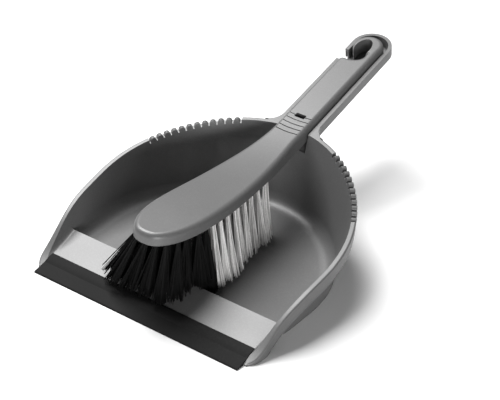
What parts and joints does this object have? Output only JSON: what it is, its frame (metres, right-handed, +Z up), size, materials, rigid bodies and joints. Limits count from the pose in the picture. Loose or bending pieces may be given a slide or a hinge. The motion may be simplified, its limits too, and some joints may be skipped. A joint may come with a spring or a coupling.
{
  "type": "dust pan and brush set",
  "caption": "Dust pan with a rubber lip, combed rim and hooked channel handle, and a two-tone hand brush that nests in the handle and lifts off.",
  "frame": {"origin": "middle of the set's footprint, on the ground", "axes": "+Z up, +Y from the lip towards the handle's hook, +X to the right seen from the lip side"},
  "size_m": [0.2248, 0.3624, 0.1109],
  "materials": {
    "pan_plastic": "satin moulded plastic with a fine metallic fleck",
    "lip_rubber": "soft dark grey rubber",
    "stock_plastic": "satin moulded plastic with a fine metallic fleck",
    "dark_bristle": "black synthetic bristle, slightly glossy",
    "pale_bristle": "pale grey synthetic bristle, slightly glossy",
    "anchor_wire": "flat steel wire"
  },
  "bodies": {
    "dust_pan": {"pan": "pan_plastic", "rubber_lip": "lip_rubber"},
    "hand_brush": {"brush_stock": "stock_plastic", "dark_tufts_rank_01": "dark_bristle", "dark_tufts_rank_02": "dark_bristle", "dark_tufts_rank_03": "dark_bristle", "dark_tufts_rank_04": "dark_bristle", "dark_tufts_rank_05": "dark_bristle", "pale_tufts_rank_06": "pale_bristle", "pale_tufts_rank_07": "pale_bristle", "pale_tufts_rank_08": "pale_bristle", "pale_tufts_rank_09": "pale_bristle", "pale_tufts_rank_10": "pale_bristle", "pale_tufts_rank_11": "pale_bristle", "pale_tufts_rank_12": "pale_bristle", "pale_tufts_rank_13": "pale_bristle", "pale_tufts_rank_14": "pale_bristle", "pale_tufts_rank_15": "pale_bristle", "anchors_rank_01": "anchor_wire", "anchors_rank_02": "anchor_wire", "anchors_rank_03": "anchor_wire", "anchors_rank_04": "anchor_wire", "anchors_rank_05": "anchor_wire", "anchors_rank_06": "anchor_wire", "anchors_rank_07": "anchor_wire", "anchors_rank_08": "anchor_wire", "anchors_rank_09": "anchor_wire", "anchors_rank_10": "anchor_wire", "anchors_rank_11": "anchor_wire", "anchors_rank_12": "anchor_wire", "anchors_rank_13": "anchor_wire", "anchors_rank_14": "anchor_wire", "anchors_rank_15": "anchor_wire"}
  },
  "joints": [
    {"name": "brush_lift", "type": "slide", "parent": "dust_pan", "child": "hand_brush", "axis": [0, -0.2485, 0.9686], "range_m": [0, 0.12]}
  ]
}
